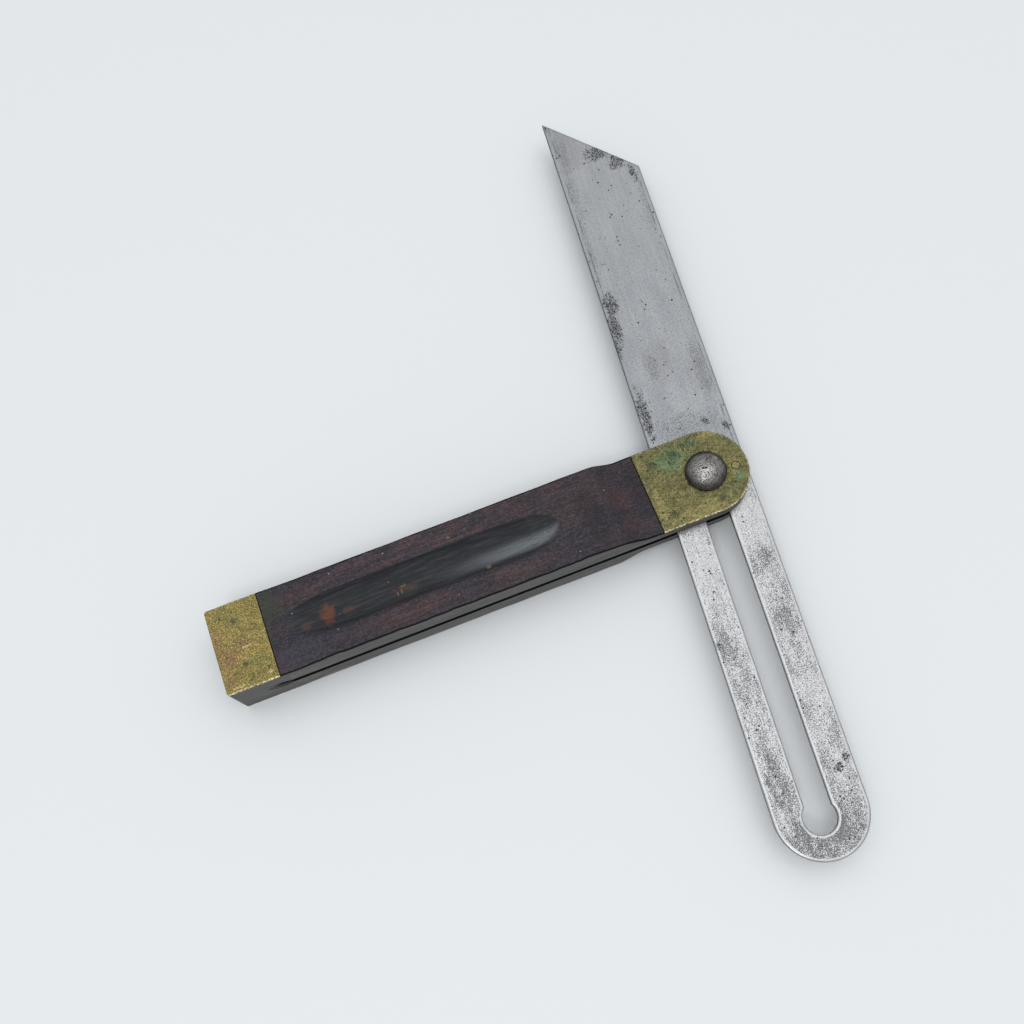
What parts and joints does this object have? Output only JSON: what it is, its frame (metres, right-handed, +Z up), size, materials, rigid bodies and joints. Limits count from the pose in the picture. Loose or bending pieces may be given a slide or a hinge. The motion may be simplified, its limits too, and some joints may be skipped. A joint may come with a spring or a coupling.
{
  "type": "sliding bevel",
  "caption": "Sliding bevel: a long slotted steel blade that slides and swings in the kerf of a fluted dark wood stock with brass end plates, held by a domed pivot bolt and clamp nut.",
  "frame": {"origin": "centre of the stock's butt end, on the middle plane of the blade's kerf", "axes": "+X along the stock from the butt end to the pivot, +Y towards the far edge of the stock, +Z up out of the broad face with the domed bolt head"},
  "size_m": [0.1626, 0.231, 0.0174],
  "materials": {
    "rosewood": "old worn polish, near black",
    "brass": "tarnished, scratched satin",
    "blade_steel": "worn grey steel with dark pits",
    "bolt_steel": "dark aged steel"
  },
  "bodies": {
    "stock_body": {"stock": "rosewood", "bolster_plate_top": "brass", "bolster_plate_bottom": "brass", "cap_plate_top": "brass", "cap_plate_bottom": "brass", "bolster_pin_top_1": "brass", "bolster_pin_top_2": "brass", "bolster_pin_top_3": "brass", "bolster_pin_top_4": "brass", "bolster_pin_bottom_1": "brass", "bolster_pin_bottom_2": "brass", "bolster_pin_bottom_3": "brass", "bolster_pin_bottom_4": "brass", "cap_pin_top_1": "brass", "cap_pin_top_2": "brass", "cap_pin_bottom_1": "brass", "cap_pin_bottom_2": "brass"},
    "bolt_body": {"pivot_bolt": "bolt_steel"},
    "blade_body": {"blade": "blade_steel"},
    "washer_body": {"nut_washer": "bolt_steel"},
    "nut_body": {"clamp_nut": "bolt_steel"}
  },
  "joints": [
    {"name": "blade_swing", "type": "hinge", "parent": "stock_body", "child": "bolt_body", "pos_m": [0.1395, 0, 0], "axis": [0, 0, 1], "range_deg": [-252, 84]},
    {"name": "blade_slide", "type": "slide", "parent": "bolt_body", "child": "blade_body", "axis": [0.1045, 0.9945, 0], "range_m": [-0.0013, 0.094]},
    {"name": "washer_slide", "type": "slide", "parent": "bolt_body", "child": "washer_body", "axis": [0, 0, 1], "range_m": [-0.000529, 0]},
    {"name": "nut_turn", "type": "hinge", "parent": "washer_body", "child": "nut_body", "pos_m": [0.1395, 0, 0], "axis": [0, 0, 1], "range_deg": [-180, 0]}
  ],
  "couplings": [
    {"joint": "nut_turn", "follows": "washer_slide", "rad_per_m": 5936.8}
  ]
}
